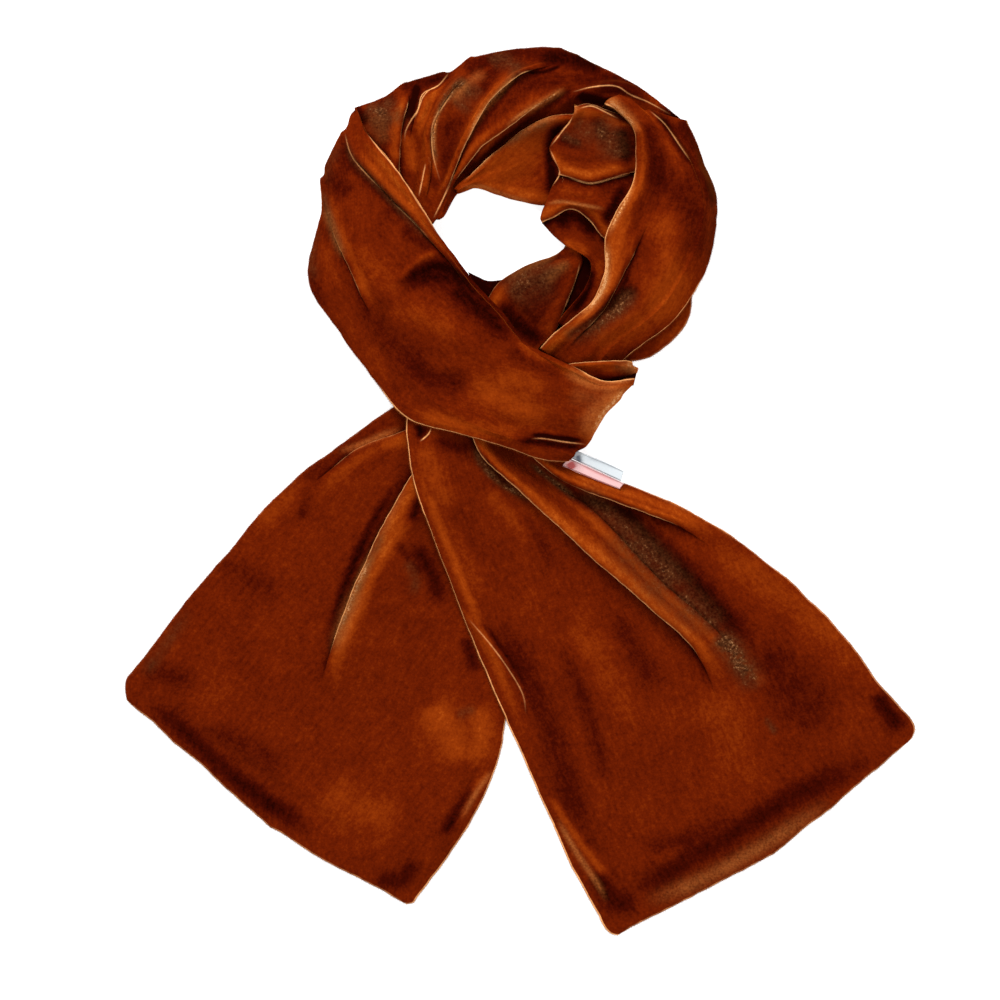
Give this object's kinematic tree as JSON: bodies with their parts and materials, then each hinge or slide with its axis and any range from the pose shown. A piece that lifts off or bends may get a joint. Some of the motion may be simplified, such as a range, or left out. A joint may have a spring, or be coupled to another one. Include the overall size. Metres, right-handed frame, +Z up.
{
  "type": "velvet scarf",
  "caption": "Long velvet scarf laid flat as a neck ring, its tails drawn through under a wide front band, with blank satin label tabs.",
  "frame": {"origin": "middle of the laid scarf's outline, on the surface that it lies on", "axes": "+Z up from that surface, +Y from the tails towards the top of the neck ring, +X to the right as seen from above with the tails towards the viewer"},
  "size_m": [0.509, 0.5766, 0.0399],
  "materials": {
    "velvet": "short velvet pile, rust brown",
    "white_satin": "white satin ribbon, blank",
    "pink_satin": "pink satin ribbon, blank"
  },
  "bodies": {
    "root": {"core": "velvet", "front_band": "velvet", "loop_return": "velvet", "ring_crumple": "velvet", "ring_inner": "velvet", "ring_lobe": "velvet", "ring_lower": "velvet", "ring_top": "velvet", "ring_under": "velvet", "tail_left": "velvet", "tail_right": "velvet", "label_white": "white_satin", "label_pink": "pink_satin"}
  },
  "joints": []
}
